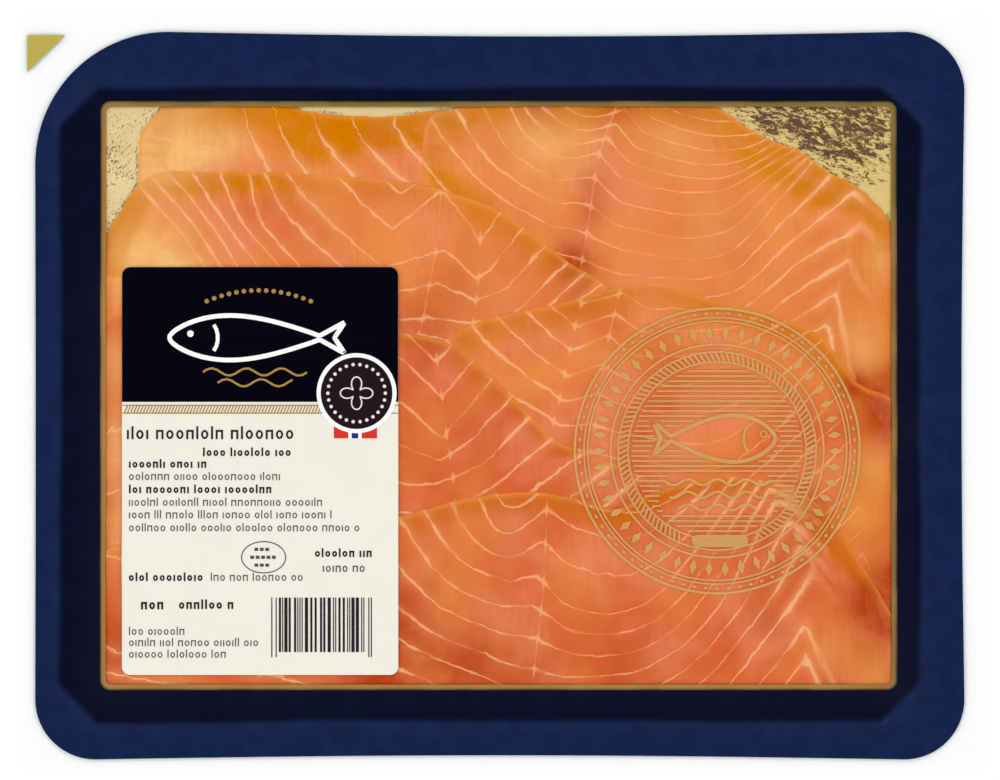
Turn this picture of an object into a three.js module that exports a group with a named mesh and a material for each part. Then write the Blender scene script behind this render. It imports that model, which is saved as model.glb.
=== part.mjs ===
// A pack of sliced smoked salmon: a clear vacuum-sealed pouch with a paper label stuck on its front.
//
// Millimetres, +Z up. The pack lies on its flat back. The origin is the centre of the back, +X runs
// along the long side and +Y towards the edge with the peel corner.
//
// The pouch is one closed solid: a thin sealed rim all round, then the front film rising over the
// board with its cut corners, and again over the fanned slices. The label follows the film's relief.

import * as THREE from 'three';

// Film pouch
const FILM_LENGTH = 235;
const FILM_WIDTH = 184;
const FILM_CORNER_RADIUS = 1.0;
const RIM_THICKNESS = 0.4;

// Foil-faced board inside, a rectangle with its four corners cut off
const BOARD_LENGTH = 206.4;
const BOARD_WIDTH = 152;
const BOARD_CENTRE_X = -3.4;
const BOARD_CENTRE_Y = -3.0;
const BOARD_CORNER_CUT = 9;
const BOARD_THICKNESS = 1.0;
const BOARD_SLOPE = 3.0;        // the film comes down to the rim over this distance

// Slices: one broad pile, then each fanned slice adds its own low step
const PILE_CENTRE_X = -1.2;
const PILE_CENTRE_Y = -1.2;
const PILE_LENGTH = 197;
const PILE_WIDTH = 146;
const PILE_CORNER_CUTS = { nearLeft: 6, nearRight: 10, farLeft: 18, farRight: 34 };
const PILE_HEIGHT = 2.6;
const PILE_SLOPE = 9.0;
const SLICE_STEP = 0.75;
const SLICE_SLOPE = 0.18;       // share of a slice's half size over which its edge thins out

// Each slice is a sheet with an oval outline: centre, length, width and turn in degrees
const SLICES = [
  { x: -42, y: 45, length: 96, width: 52, turn: -12 },
  { x: -34, y: 22, length: 112, width: 66, turn: -28 },
  { x: 38, y: 40, length: 128, width: 74, turn: -14 },
  { x: -14, y: -8, length: 104, width: 62, turn: -24 },
  { x: -22, y: -44, length: 142, width: 58, turn: 4 },
  { x: 58, y: -26, length: 86, width: 92, turn: 34 },
];

// Paper label on the front film
const LABEL_LENGTH = 66.4;
const LABEL_WIDTH = 98;
const LABEL_CENTRE_X = -58.6;
const LABEL_CENTRE_Y = -19.1;
const LABEL_CORNER_RADIUS = 2.0;
const LABEL_THICKNESS = 0.2;
const LABEL_GAP = 0.3;          // clearance to the film below
const PAPER_BRIDGE = 3.0;       // stiffer than film, it spans hollows narrower than twice this

// How finely each sheet is divided; the arc rows are on each rounded corner
const POUCH_GRID = { columns: 60, rows: 46, arcRows: 2 };
const LABEL_GRID = { columns: 16, rows: 22, arcRows: 3 };

// ---- relief of the front film ----

// 0 up to distance 0 and 1 from distance `run` on, with level ends
function rise(distance, run) {
  const share = THREE.MathUtils.clamp(distance / run, 0, 1);
  return share * share * (3 - 2 * share);
}

// How far a point lies inside a centred rectangle whose corners are cut off at 45 degrees
function depthInCutRectangle(x, y, length, width, cut) {
  const alongX = length / 2 - Math.abs(x);
  const alongY = width / 2 - Math.abs(y);
  const acrossCorner = (alongX + alongY - cut) / Math.SQRT2;
  return Math.min(alongX, alongY, acrossCorner);
}

function boardRelief(x, y) {
  const depth = depthInCutRectangle(x, y, BOARD_LENGTH, BOARD_WIDTH, BOARD_CORNER_CUT);
  return BOARD_THICKNESS * rise(depth + BOARD_SLOPE, BOARD_SLOPE);
}

// 0 outside the pile of slices and 1 on it; the pile is cut differently at each corner
function pileShare(x, y) {
  const { nearLeft, nearRight, farLeft, farRight } = PILE_CORNER_CUTS;
  const nearCut = x < 0 ? nearLeft : nearRight;
  const farCut = x < 0 ? farLeft : farRight;
  const depth = depthInCutRectangle(x, y, PILE_LENGTH, PILE_WIDTH, y < 0 ? nearCut : farCut);
  return rise(depth, PILE_SLOPE);
}

// One slice's step, thinning out towards its outline, the superellipse of power four
function sliceRelief(slice, x, y) {
  const turn = THREE.MathUtils.degToRad(slice.turn);
  const dx = x - slice.x;
  const dy = y - slice.y;
  const along = (dx * Math.cos(turn) + dy * Math.sin(turn)) / (slice.length / 2);
  const across = (dy * Math.cos(turn) - dx * Math.sin(turn)) / (slice.width / 2);
  const outline = (along ** 4 + across ** 4) ** 0.25;
  return SLICE_STEP * rise(1 - outline, SLICE_SLOPE);
}

// Height of the front film above the back
function filmHeight(filmX, filmY) {
  const x = filmX - PILE_CENTRE_X;
  const y = filmY - PILE_CENTRE_Y;
  const steps = SLICES.reduce((sum, slice) => sum + sliceRelief(slice, x, y), 0);
  const board = boardRelief(filmX - BOARD_CENTRE_X, filmY - BOARD_CENTRE_Y);
  return RIM_THICKNESS + board + pileShare(x, y) * (PILE_HEIGHT + steps);
}

// The label's underside: clear of the highest film within the paper's bridging distance
function paperHeight(x, y) {
  const heights = [filmHeight(x, y)];
  for (let step = 0; step < 8; step += 1) {
    const angle = step * Math.PI / 4;
    const aroundX = x + PAPER_BRIDGE * Math.cos(angle);
    const aroundY = y + PAPER_BRIDGE * Math.sin(angle);
    heights.push(filmHeight(aroundX, aroundY));
  }
  return Math.max(...heights) + LABEL_GAP;
}

// ---- sheets: rows of points inside a rounded rectangle ----

// Each row's place across the sheet and its half length, from the front edge to the far edge
function roundedRows(length, width, radius, grid) {
  const arc = [];
  for (let step = 0; step <= grid.arcRows; step += 1) {
    const angle = (step / grid.arcRows) * (Math.PI / 2);
    arc.push({
      inset: radius * (1 - Math.cos(angle)),
      half: length / 2 - radius * (1 - Math.sin(angle)),
    });
  }
  const near = arc.map((row) => ({ y: row.inset - width / 2, half: row.half }));
  const far = arc.map((row) => ({ y: width / 2 - row.inset, half: row.half })).reverse();
  const middle = [];
  for (let step = 1; step < grid.rows; step += 1) {
    const share = step / grid.rows;
    middle.push({ y: (share - 0.5) * (width - 2 * radius), half: length / 2 });
  }
  return [...near, ...middle, ...far];
}

// A grid of points, row after row, at the height that the function gives
function sheetPoints(sheet, height) {
  const points = [];
  for (const row of sheet.rows) {
    for (let column = 0; column <= sheet.columns; column += 1) {
      const x = sheet.x + (column / sheet.columns * 2 - 1) * row.half;
      const y = sheet.y + row.y;
      points.push(x, y, height(x, y));
    }
  }
  return points;
}

// Two triangles for each cell, facing up
function sheetFaces(sheet) {
  const faces = [];
  const stride = sheet.columns + 1;
  for (let row = 0; row < sheet.rows.length - 1; row += 1) {
    for (let column = 0; column < sheet.columns; column += 1) {
      const near = row * stride + column;
      const far = near + stride;
      faces.push(near, near + 1, far + 1);
      faces.push(near, far + 1, far);
    }
  }
  return faces;
}

// Indices of the points on the outline, anticlockwise from above
function sheetRim(sheet) {
  const stride = sheet.columns + 1;
  const lastRow = sheet.rows.length - 1;
  const rim = [];
  for (let column = 0; column < sheet.columns; column += 1) rim.push(column);
  for (let row = 0; row < lastRow; row += 1) rim.push(row * stride + sheet.columns);
  for (let column = sheet.columns; column > 0; column -= 1) rim.push(lastRow * stride + column);
  for (let row = lastRow; row > 0; row -= 1) rim.push(row * stride);
  return rim;
}

// Joins the upper outline to the lower one, point for point, facing out
function wallFaces(upper, lower) {
  const faces = [];
  for (let index = 0; index < upper.length; index += 1) {
    const next = (index + 1) % upper.length;
    faces.push(lower[index], lower[next], upper[next]);
    faces.push(lower[index], upper[next], upper[index]);
  }
  return faces;
}

function solid(points, faces) {
  const geometry = new THREE.BufferGeometry();
  geometry.setAttribute('position', new THREE.Float32BufferAttribute(points, 3));
  geometry.setIndex(faces);
  geometry.computeVertexNormals();
  return geometry;
}

function makeSheet(x, y, length, width, radius, grid) {
  return { x, y, rows: roundedRows(length, width, radius, grid), columns: grid.columns };
}

// ---- pieces ----

// The whole pouch: relief above, a flat back fanned out from its middle below
function makePouch() {
  const sheet = makeSheet(0, 0, FILM_LENGTH, FILM_WIDTH, FILM_CORNER_RADIUS, POUCH_GRID);
  const front = sheetPoints(sheet, filmHeight);
  const rim = sheetRim(sheet);
  const count = front.length / 3;
  const back = rim.flatMap((index) => [front[index * 3], front[index * 3 + 1], 0]);
  const backRim = rim.map((_, index) => count + index);
  const middle = count + rim.length;
  const backFaces = backRim.flatMap((point, index) => {
    const next = backRim[(index + 1) % backRim.length];
    return [middle, next, point];
  });
  const points = [...front, ...back, 0, 0, 0];
  return solid(points, [...sheetFaces(sheet), ...wallFaces(rim, backRim), ...backFaces]);
}

// The label: one thin sheet of paper, the same thickness everywhere, lying along the film
function makeLabel() {
  const sheet = makeSheet(
    LABEL_CENTRE_X, LABEL_CENTRE_Y, LABEL_LENGTH, LABEL_WIDTH, LABEL_CORNER_RADIUS, LABEL_GRID,
  );
  const lower = sheetPoints(sheet, paperHeight);
  const upper = sheetPoints(sheet, (x, y) => paperHeight(x, y) + LABEL_THICKNESS);
  const count = upper.length / 3;
  const rim = sheetRim(sheet);
  const lowerRim = rim.map((index) => count + index);
  const top = sheetFaces(sheet);
  const underside = [];
  for (let index = 0; index < top.length; index += 3) {
    underside.push(count + top[index], count + top[index + 2], count + top[index + 1]);
  }
  return solid([...upper, ...lower], [...top, ...underside, ...wallFaces(rim, lowerRim)]);
}

// ---- materials and assembly ----

function namedMesh(name, geometry, material) {
  const mesh = new THREE.Mesh(geometry, material);
  mesh.name = name;
  return mesh;
}

const filmOverSlices = new THREE.MeshStandardMaterial({
  color: 0xe2854f, roughness: 0.25, metalness: 0.0,
});
const labelPaper = new THREE.MeshStandardMaterial({
  color: 0xf1ede1, roughness: 0.7, metalness: 0.0,
});

const pack = new THREE.Group();
pack.add(namedMesh('sealed_pouch', makePouch(), filmOverSlices));
pack.add(namedMesh('label', makeLabel(), labelPaper));

export default pack;
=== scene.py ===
# %% [markdown]
# # A vacuum pack of smoked salmon
# The pack is a flat one: a gold foil board with its corners cut off, a fan of thin salmon slices on
# it, and clear film sealed round both. The front film carries a wide navy frame, a thin gold line
# round the window and a round gold stamp, and a paper label is stuck on it.
#
# The measured model is the fixed frame. Its `sealed_pouch` is one plain solid, so here it is
# replaced by what it stands for: two films, the board and the slices. Everything below is a height
# worked out on a grid, so that each layer can rest on the one under it.

# %% Load the frame and the tools
import math

import bmesh
import bpy
import numpy as np
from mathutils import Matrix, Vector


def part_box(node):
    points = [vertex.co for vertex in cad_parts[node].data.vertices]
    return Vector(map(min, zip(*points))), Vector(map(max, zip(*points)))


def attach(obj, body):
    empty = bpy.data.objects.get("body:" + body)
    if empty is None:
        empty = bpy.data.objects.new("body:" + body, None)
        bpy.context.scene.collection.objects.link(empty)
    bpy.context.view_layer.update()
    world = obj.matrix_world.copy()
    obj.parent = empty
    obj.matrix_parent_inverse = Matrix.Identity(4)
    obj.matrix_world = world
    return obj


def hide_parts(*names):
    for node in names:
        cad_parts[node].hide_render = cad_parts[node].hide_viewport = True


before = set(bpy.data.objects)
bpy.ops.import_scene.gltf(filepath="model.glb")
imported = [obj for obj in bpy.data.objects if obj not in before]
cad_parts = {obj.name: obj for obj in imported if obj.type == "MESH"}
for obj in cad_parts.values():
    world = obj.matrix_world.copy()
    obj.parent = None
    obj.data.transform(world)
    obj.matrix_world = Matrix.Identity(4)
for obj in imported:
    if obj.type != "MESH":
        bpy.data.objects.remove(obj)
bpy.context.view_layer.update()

MM = 0.001
print("nodes in the frame:", sorted(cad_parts))

# %% [markdown]
# ## Sizes
# The frame gives the film's size and the label's place. The rest is measured on such a pack, in
# millimetres, from the middle of the window: +X runs to the right and +Y away from the reader.

# %% Sizes in millimetres
pouch_low, pouch_high = (np.array(corner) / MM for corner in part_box("sealed_pouch"))
label_low, label_high = (np.array(corner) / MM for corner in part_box("label"))
FILM_LENGTH, FILM_WIDTH = (pouch_high - pouch_low)[:2]

# Middles, from the middle of the film: the board and the print lie a little off it
CENTRE = np.array([-1.2, -1.2])         # of the window, and the slices are placed from here
BOARD_CENTRE = np.array([-3.4, -3.0])
NAVY_CENTRE = np.array([-1.0, -1.0])
LINE_CENTRE = np.array([-1.3, -0.95])

WINDOW = (191.7, 141.7)                 # outer size of the gold line
WINDOW_RADIUS = 2.4
GOLD_LINE = 1.35                        # its width
NAVY = (224.0, 175.4)
BOARD = (206.4, 152.0)
BOARD_CUT = 9.0

BOARD_THICKNESS = 1.0
FILM_THICKNESS = 0.12                   # of the back film
FRONT_THICKNESS = 0.09
SLICE_THICKNESS = 1.7
print("film", FILM_LENGTH, "x", FILM_WIDTH, "mm, window", WINDOW)

# %% [markdown]
# ## Heights on a grid
# A pack is a stack of soft layers. One way to stack them is cloth simulation, but the layers are
# thin and hardly move, so a height map does it exactly: an array holds the height of the stack at
# every millimetre. A layer that is laid on the stack touches the high places and bridges the
# hollows. Blurring the stack and never letting the result sink below it gives that.

# %% Height map helpers
GRID = 1.0
grid_x = np.linspace(-FILM_LENGTH / 2, FILM_LENGTH / 2, int(FILM_LENGTH / GRID) + 1)
grid_y = np.linspace(-FILM_WIDTH / 2, FILM_WIDTH / 2, int(FILM_WIDTH / GRID) + 1)
GX, GY = np.meshgrid(grid_x, grid_y)


def smooth(value, low, high):
    """0 below low, 1 above high, and 3t^2 - 2t^3 between them."""
    share = np.clip((value - low) / (high - low), 0, 1)
    return share * share * (3 - 2 * share)


def blur(height, reach):
    """Weighted mean along the rows, then the columns, with bell-shaped weights `reach` wide."""
    taps = np.arange(-int(3 * reach), int(3 * reach) + 1)
    weights = np.exp(-0.5 * (taps / reach) ** 2)
    weights /= weights.sum()
    for axis in (0, 1):
        count = height.shape[axis]
        places = np.clip(np.arange(count)[:, None] + taps, 0, count - 1)
        height = np.moveaxis((np.moveaxis(height, axis, -1)[..., places] * weights).sum(-1), -1, axis)
    return height


def drape(under, reach, turns):
    """A sheet laid on `under`: blurred again and again, and each time lifted clear of it."""
    sheet = under
    for _ in range(turns):
        sheet = np.maximum(under, blur(sheet, reach))
    return sheet


def sample(height, x, y):
    """The height at any point: the mean of the four grid values round it, weighted by nearness."""
    column = np.clip((x - grid_x[0]) / (grid_x[1] - grid_x[0]), 0, len(grid_x) - 1.001)
    row = np.clip((y - grid_y[0]) / (grid_y[1] - grid_y[0]), 0, len(grid_y) - 1.001)
    c, r = column.astype(int), row.astype(int)
    u, v = column - c, row - r
    near = height[r, c] * (1 - u) + height[r, c + 1] * u
    far = height[r + 1, c] * (1 - u) + height[r + 1, c + 1] * u
    return near * (1 - v) + far * v


def waves(x, y, length, seed):
    """A soft uneven field from -1 to 1: the mean of six sine waves with seeded directions."""
    dice = np.random.default_rng(seed)
    total = np.zeros_like(x)
    for _ in range(6):
        turn, phase = dice.uniform(0, 2 * math.pi, 2)
        pitch = length * dice.uniform(0.6, 1.6)
        total += np.sin((x * math.cos(turn) + y * math.sin(turn)) * 2 * math.pi / pitch + phase)
    return total / 6


print("height map", GX.shape)

# %% [markdown]
# ## From arrays to closed meshes
# Every layer is a sheet with a top and an underside. Both are the same grid of points at two
# heights, and walls join them along the rim, so the mesh is closed. The faces of a grid can be
# written down as whole arrays: each takes a point, its neighbour, and the two in the next row.

# %% Mesh helpers
def sheet_arrays(x, y, top, bottom, wrap=False, pole=False):
    """Points and faces of one closed sheet: top grid, underside grid, walls along the open rims.
    wrap joins the last column to the first, and pole says that the first row is a single point."""
    rows, columns = x.shape
    points = np.stack([np.stack([x, y, top], -1), np.stack([x, y, bottom], -1)]).reshape(-1, 3)
    index = np.arange(rows * columns).reshape(rows, columns)
    if wrap:
        index = np.hstack([index, index[:, :1]])
    cells = np.stack([index[:-1, :-1], index[:-1, 1:], index[1:, 1:], index[1:, :-1]], -1)
    upper = cells.reshape(-1, 4)
    rims = [index[-1][::-1]]
    if not pole:
        rims.append(index[0])
    if not wrap:
        rims += [index[::-1, 0], index[:, -1]]
    under = rows * columns
    walls = [np.stack([rim[:-1] + under, rim[1:] + under, rim[1:], rim[:-1]], -1) for rim in rims]
    faces = np.vstack([upper, upper[:, ::-1] + under, *walls])
    across = points[upper[:, 2], :2] - points[upper[:, 0], :2]
    along = points[upper[:, 3], :2] - points[upper[:, 1], :2]
    facing = (across[:, 0] * along[:, 1] - across[:, 1] * along[:, 0]).sum()
    return points, faces if facing > 0 else faces[:, ::-1]


def put_mesh(name, sheets, material, merge=False, fields=None):
    """One object from one or more sheets. Named fields hold one number for each point of a
    single sheet's grid, and its underside gets the same numbers."""
    counts = np.cumsum([0] + [len(points) for points, _ in sheets])
    points = np.vstack([points for points, _ in sheets]) * MM
    faces = np.vstack([faces + start for (_, faces), start in zip(sheets, counts)])
    mesh = bpy.data.meshes.new(name)
    mesh.from_pydata(points.tolist(), [], faces.tolist())
    for field, values in (fields or {}).items():
        both = np.tile(np.asarray(values, np.float32).ravel(), 2)
        mesh.attributes.new(field, "FLOAT", "POINT").data.foreach_set("value", both)
    if merge:
        work = bmesh.new()
        work.from_mesh(mesh)
        bmesh.ops.remove_doubles(work, verts=work.verts, dist=1e-7)
        work.to_mesh(mesh)
        work.free()
    mesh.polygons.foreach_set("use_smooth", np.ones(len(mesh.polygons), bool))
    mesh.set_sharp_from_angle(angle=math.radians(50))
    mesh.materials.append(material)
    piece = bpy.data.objects.new(name, mesh)
    bpy.context.scene.collection.objects.link(piece)
    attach(piece, "root")
    print(f"{name}: {len(mesh.vertices)} points, {len(mesh.polygons)} faces")
    return piece


print("mesh helpers ready")

# %% [markdown]
# ## Outlines
# The window, the label and each slice have a closed outline. A rectangle with round corners is
# worked out from its sizes, which keeps it exact. The edge of a slice is free, so it is a smooth
# curve through a few places.

# %% Outline helpers
def rounded_loop(size, radii, bow=(0, 0, 0, 0), side=48, corner=14):
    """Closed outline of a rectangle with round corners, anticlockwise from the right side's foot.
    Each corner is a quarter circle. Each side bends inwards by its bow, as half a sine wave."""
    half = np.array(size) / 2
    loop = []
    for turn in range(4):
        angle = turn * math.pi / 2
        normal = np.array([math.cos(angle), math.sin(angle)])
        tangent = np.array([-normal[1], normal[0]])
        reach, span = abs(normal @ half), abs(tangent @ half)
        before, after = radii[turn - 1], radii[turn]
        share = np.linspace(0, 1, side, endpoint=False)[:, None]
        run = -(span - before) + share * (2 * span - before - after)
        inward = bow[turn] * np.sin(share * math.pi)
        loop.append(normal * (reach - inward) + tangent * run)
        arc = angle + np.linspace(0, math.pi / 2, corner, endpoint=False)[:, None]
        middle = normal * (reach - after) + tangent * (span - after)
        loop.append(middle + after * np.hstack([np.cos(arc), np.sin(arc)]))
    return np.vstack(loop)


def smooth_loop(points, count):
    """A closed curve through the points, each stretch a cubic whose ends head for the next but
    one point, then `count` points at even distances along it."""
    knots = np.array(points, float)
    before, after, beyond = np.roll(knots, 1, 0), np.roll(knots, -1, 0), np.roll(knots, -2, 0)
    t = np.linspace(0, 1, 24, endpoint=False)[None, :, None]
    a, b, c, d = (each[:, None] for each in (before, knots, after, beyond))
    curve = 0.5 * (2 * b + (c - a) * t + (2 * a - 5 * b + 4 * c - d) * t ** 2
                   + (3 * b - a - 3 * c + d) * t ** 3)
    curve = curve.reshape(-1, 2)
    closed = np.vstack([curve, curve[:1]])
    length = np.concatenate([[0], np.cumsum(np.hypot(*np.diff(closed, axis=0).T))])
    places = np.linspace(0, length[-1], count, endpoint=False)
    return np.stack([np.interp(places, length, closed[:, k]) for k in (0, 1)], -1)


def depth_in(loop, x, y):
    """Distance from each point to the loop, positive inside: the nearest of all the loop's
    straight pieces, and inside where a ray to the right crosses it an odd number of times."""
    start, end = loop, np.roll(loop, -1, 0)
    step = end - start
    shape, x, y = x.shape, x.ravel(), y.ravel()
    depth = []
    for px, py in zip(np.array_split(x, 16), np.array_split(y, 16)):
        dx, dy = px[:, None] - start[:, 0], py[:, None] - start[:, 1]
        share = np.clip((dx * step[:, 0] + dy * step[:, 1]) / (step ** 2).sum(1), 0, 1)
        gap = np.hypot(dx - share * step[:, 0], dy - share * step[:, 1]).min(1)
        spans = (start[:, 1] > py[:, None]) != (end[:, 1] > py[:, None])
        rise = np.where(np.abs(step[:, 1]) < 1e-9, 1e-9, step[:, 1])
        crossed = spans & (dx < dy * step[:, 0] / rise)
        depth.append(np.where(crossed.sum(1) % 2 == 1, gap, -gap))
    return np.concatenate(depth).reshape(shape)


def cut_depth(x, y, size, cut):
    """How far a point lies inside a centred rectangle whose corners are cut off at 45 degrees."""
    along, across = size[0] / 2 - np.abs(x), size[1] / 2 - np.abs(y)
    return np.minimum(np.minimum(along, across), (along + across - cut) / math.sqrt(2))


print("outline helpers ready")

# %% [markdown]
# ## Materials
# Each finish is a small tree of shader nodes. Patterns read Object coordinates, which are metres on
# the piece itself, or a field stored on its points, so they stay put on the piece.

# %% Material helpers
def linear(red, green, blue):
    """Screen colour from 0 to 255 turned into the linear light that shaders work in."""
    screen = np.array([red, green, blue]) / 255
    light = np.where(screen <= 0.04045, screen / 12.92, ((screen + 0.055) / 1.055) ** 2.4)
    return (*light.tolist(), 1.0)


MIX_FIRST, MIX_SECOND, MIX_RESULT = 6, 7, 2     # a Mix node's two colour sockets, and its result


class Finish:
    """A material with one Principled shader, and short ways to add and join nodes."""

    def __init__(self, name, **settings):
        self.material = bpy.data.materials.new(name)
        self.material.use_nodes = True
        self.nodes = self.material.node_tree.nodes
        self.links = self.material.node_tree.links
        self.shader = self.nodes["Principled BSDF"]
        for socket, value in settings.items():
            self.shader.inputs[socket.replace("_", " ")].default_value = value

    def node(self, kind, inputs=None, **properties):
        node = self.nodes.new(kind)
        for key, value in properties.items():
            setattr(node, key, value)
        for key, value in (inputs or {}).items():
            self.feed(node.inputs[key], value)
        return node

    def feed(self, socket, value):
        if isinstance(value, bpy.types.NodeSocket):
            self.links.new(value, socket)
        else:
            socket.default_value = value

    def math(self, operation, *values):
        node = self.node("ShaderNodeMath", operation=operation)
        for socket, value in zip(node.inputs, values):
            self.feed(socket, value)
        return node.outputs[0]

    def plus(self, first, second):
        return self.math("ADD", first, second)

    def times(self, first, second):
        return self.math("MULTIPLY", first, second)

    def scaled(self, value, factor, offset):
        """The value times a factor, plus an offset."""
        return self.math("MULTIPLY_ADD", value, factor, offset)

    def field(self, name):
        """The number of that name that is stored on the piece's points."""
        return self.node("ShaderNodeAttribute", attribute_name=name).outputs["Fac"]

    def place(self, scale=(1, 1, 1), turn=0.0):
        """Object coordinates in millimetres, along axes turned about Z, then each times a scale."""
        here = self.node("ShaderNodeTexCoord").outputs["Object"]
        turned = self.node("ShaderNodeMapping", {
            "Vector": here, "Rotation": (0, 0, turn), "Scale": tuple(MM / s for s in scale)},
            vector_type="TEXTURE")
        return turned.outputs[0]

    def noise(self, place, size, detail=2.0, roughness=0.5, distortion=0.0):
        """Cloudy pattern from 0 to 1, with features about `size` across."""
        return self.node("ShaderNodeTexNoise", {
            "Vector": place, "Scale": 1 / size, "Detail": detail, "Roughness": roughness,
            "Distortion": distortion}).outputs["Fac"]

    def ramp(self, value, low, high, to_low=0.0, to_high=1.0):
        """Smooth step from to_low to to_high while value goes from low to high."""
        return self.node("ShaderNodeMapRange", {
            "Value": value, "From Min": low, "From Max": high, "To Min": to_low,
            "To Max": to_high}, interpolation_type="SMOOTHSTEP").outputs[0]

    def mix(self, share, first, second, blend="MIX"):
        node = self.node("ShaderNodeMix", data_type="RGBA", blend_type=blend)
        self.feed(node.inputs[0], share)
        self.feed(node.inputs[MIX_FIRST], first)
        self.feed(node.inputs[MIX_SECOND], second)
        return node.outputs[MIX_RESULT]

    def shaded(self, colour, shade):
        """The colour times a grey, darker where the shade is under 1 and lighter above."""
        grey = self.node("ShaderNodeCombineColor", {0: shade, 1: shade, 2: shade}).outputs[0]
        return self.mix(1.0, colour, grey, "MULTIPLY")

    def bump(self, height, strength, distance):
        bump = self.node("ShaderNodeBump", {
            "Height": height, "Strength": strength, "Distance": distance * MM})
        self.links.new(bump.outputs[0], self.shader.inputs["Normal"])

    def colour(self, value):
        self.feed(self.shader.inputs["Base Color"], value)


print("material helpers ready")

# %% [markdown]
# ## Salmon flesh
# Smoked salmon is orange muscle in flakes, parted by thin pale lines of fat, with a browner rim
# where the smoke dried it. The lines could be drawn one by one as curves, but they belong to the
# flesh, so each point of a slice stores a number, `flake`, that grows by one from line to line. The
# shader draws a line wherever that number is whole. `spacing` says how many millimetres one flake
# takes there, which turns a share of a flake into a distance, so that a line keeps its width.

# %% The salmon material
def flake_distance(flesh, patch):
    """Distance to the nearest fat line in mm: the flake number's distance to a whole number, times
    the spacing. Noise shifts the number a little, so that no line runs quite true."""
    grain = flesh.noise(flesh.place(), 1.3, 3, 0.6)
    drift = flesh.scaled(patch, 0.3, -0.15)
    jitter = flesh.scaled(grain, 0.07, -0.035)
    flake = flesh.plus(flesh.plus(flesh.field("flake"), drift), jitter)
    return flesh.times(flesh.math("PINGPONG", flake, 0.5), flesh.field("spacing"))


def fat_lines(flesh, patch, distance):
    """1 on a fat line and 0 off it. A line is wider where the fat is strong, where it is soft and
    at the seam, and slow noise breaks the faint ones. Curved stars mark where they cross a seam."""
    here = flesh.place()
    fat = flesh.field("fat")
    middle = flesh.math("ABSOLUTE", flesh.field("middle"))
    knot = flesh.ramp(middle, 3.0, 0.0)
    uneven = flesh.ramp(flesh.noise(here, 4.5, 2, 0.6), 0.3, 0.75, 0.45, 1.6)
    width = flesh.scaled(fat, 0.42, 0.12)
    width = flesh.times(flesh.scaled(knot, 0.14, width), uneven)
    width = flesh.scaled(flesh.field("soft"), 0.8, width)
    line = flesh.math("SUBTRACT", 1.0, flesh.math("DIVIDE", distance, width))
    line = flesh.ramp(line, -0.45, 0.7)
    broken = flesh.ramp(flesh.noise(here, 8, 2, 0.55), 0.38, 0.54, 0.3, 1.0)
    sure = flesh.math("MAXIMUM", broken, flesh.ramp(fat, 0.3, 0.75, 0.0, 0.9))
    line = flesh.times(line, sure)
    crook = flesh.math("MINIMUM", middle, flesh.math("ABSOLUTE", flesh.field("crook")))
    arms = flesh.plus(flesh.math("POWER", flesh.math("DIVIDE", crook, 2.2), 0.5),
                      flesh.math("POWER", flesh.math("DIVIDE", distance, 2.6), 0.5))
    star = flesh.times(flesh.ramp(arms, 1.0, 0.7), 0.8)
    seam = flesh.ramp(middle, 0.32, 0.06, 0.0, 0.4)
    seam = flesh.times(seam, flesh.ramp(patch, 0.42, 0.62))
    return flesh.math("MAXIMUM", flesh.math("MAXIMUM", line, seam), star)


def muscle_colour(flesh, patch):
    """Orange to coral with slow noise, blushed in patches, then the smoked rim and the soft pale
    spots, and the red ones, which are partly painted shade, each by its own field."""
    here = flesh.place()
    slow = flesh.noise(here, 24, 3, 0.55)
    tone = flesh.plus(flesh.field("tone"), flesh.scaled(slow, 1.7, -0.85))
    tone = flesh.plus(tone, flesh.scaled(patch, 0.5, -0.25))
    colour = flesh.mix(flesh.ramp(tone, -0.1, 1.1), linear(229, 139, 72), linear(207, 91, 49))
    blush = flesh.ramp(flesh.noise(here, 16, 2, 0.5, 0.3), 0.42, 0.7, 0.0, 0.55)
    colour = flesh.mix(blush, colour, linear(228, 133, 96))
    smoked = flesh.mix(slow, linear(216, 134, 0), linear(198, 102, 0))
    redder = flesh.ramp(flesh.field("tone"), 0.3, 0.75, 0, 0.9)
    smoked = flesh.mix(redder, smoked, linear(203, 98, 22))
    # The red field is redder flesh and also painted shade, along the window's edges and in some of its
    # spots
    spread = (("rim", 0.75, smoked), ("pale", 0.7, linear(238, 182, 112)),
              ("red", 0.65, linear(176, 62, 22)))
    for field, least, tint in spread:
        share = flesh.times(flesh.field(field), flesh.ramp(patch, 0.3, 0.6, least, 1.0))
        colour = flesh.mix(share, colour, tint)
    return colour


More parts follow.
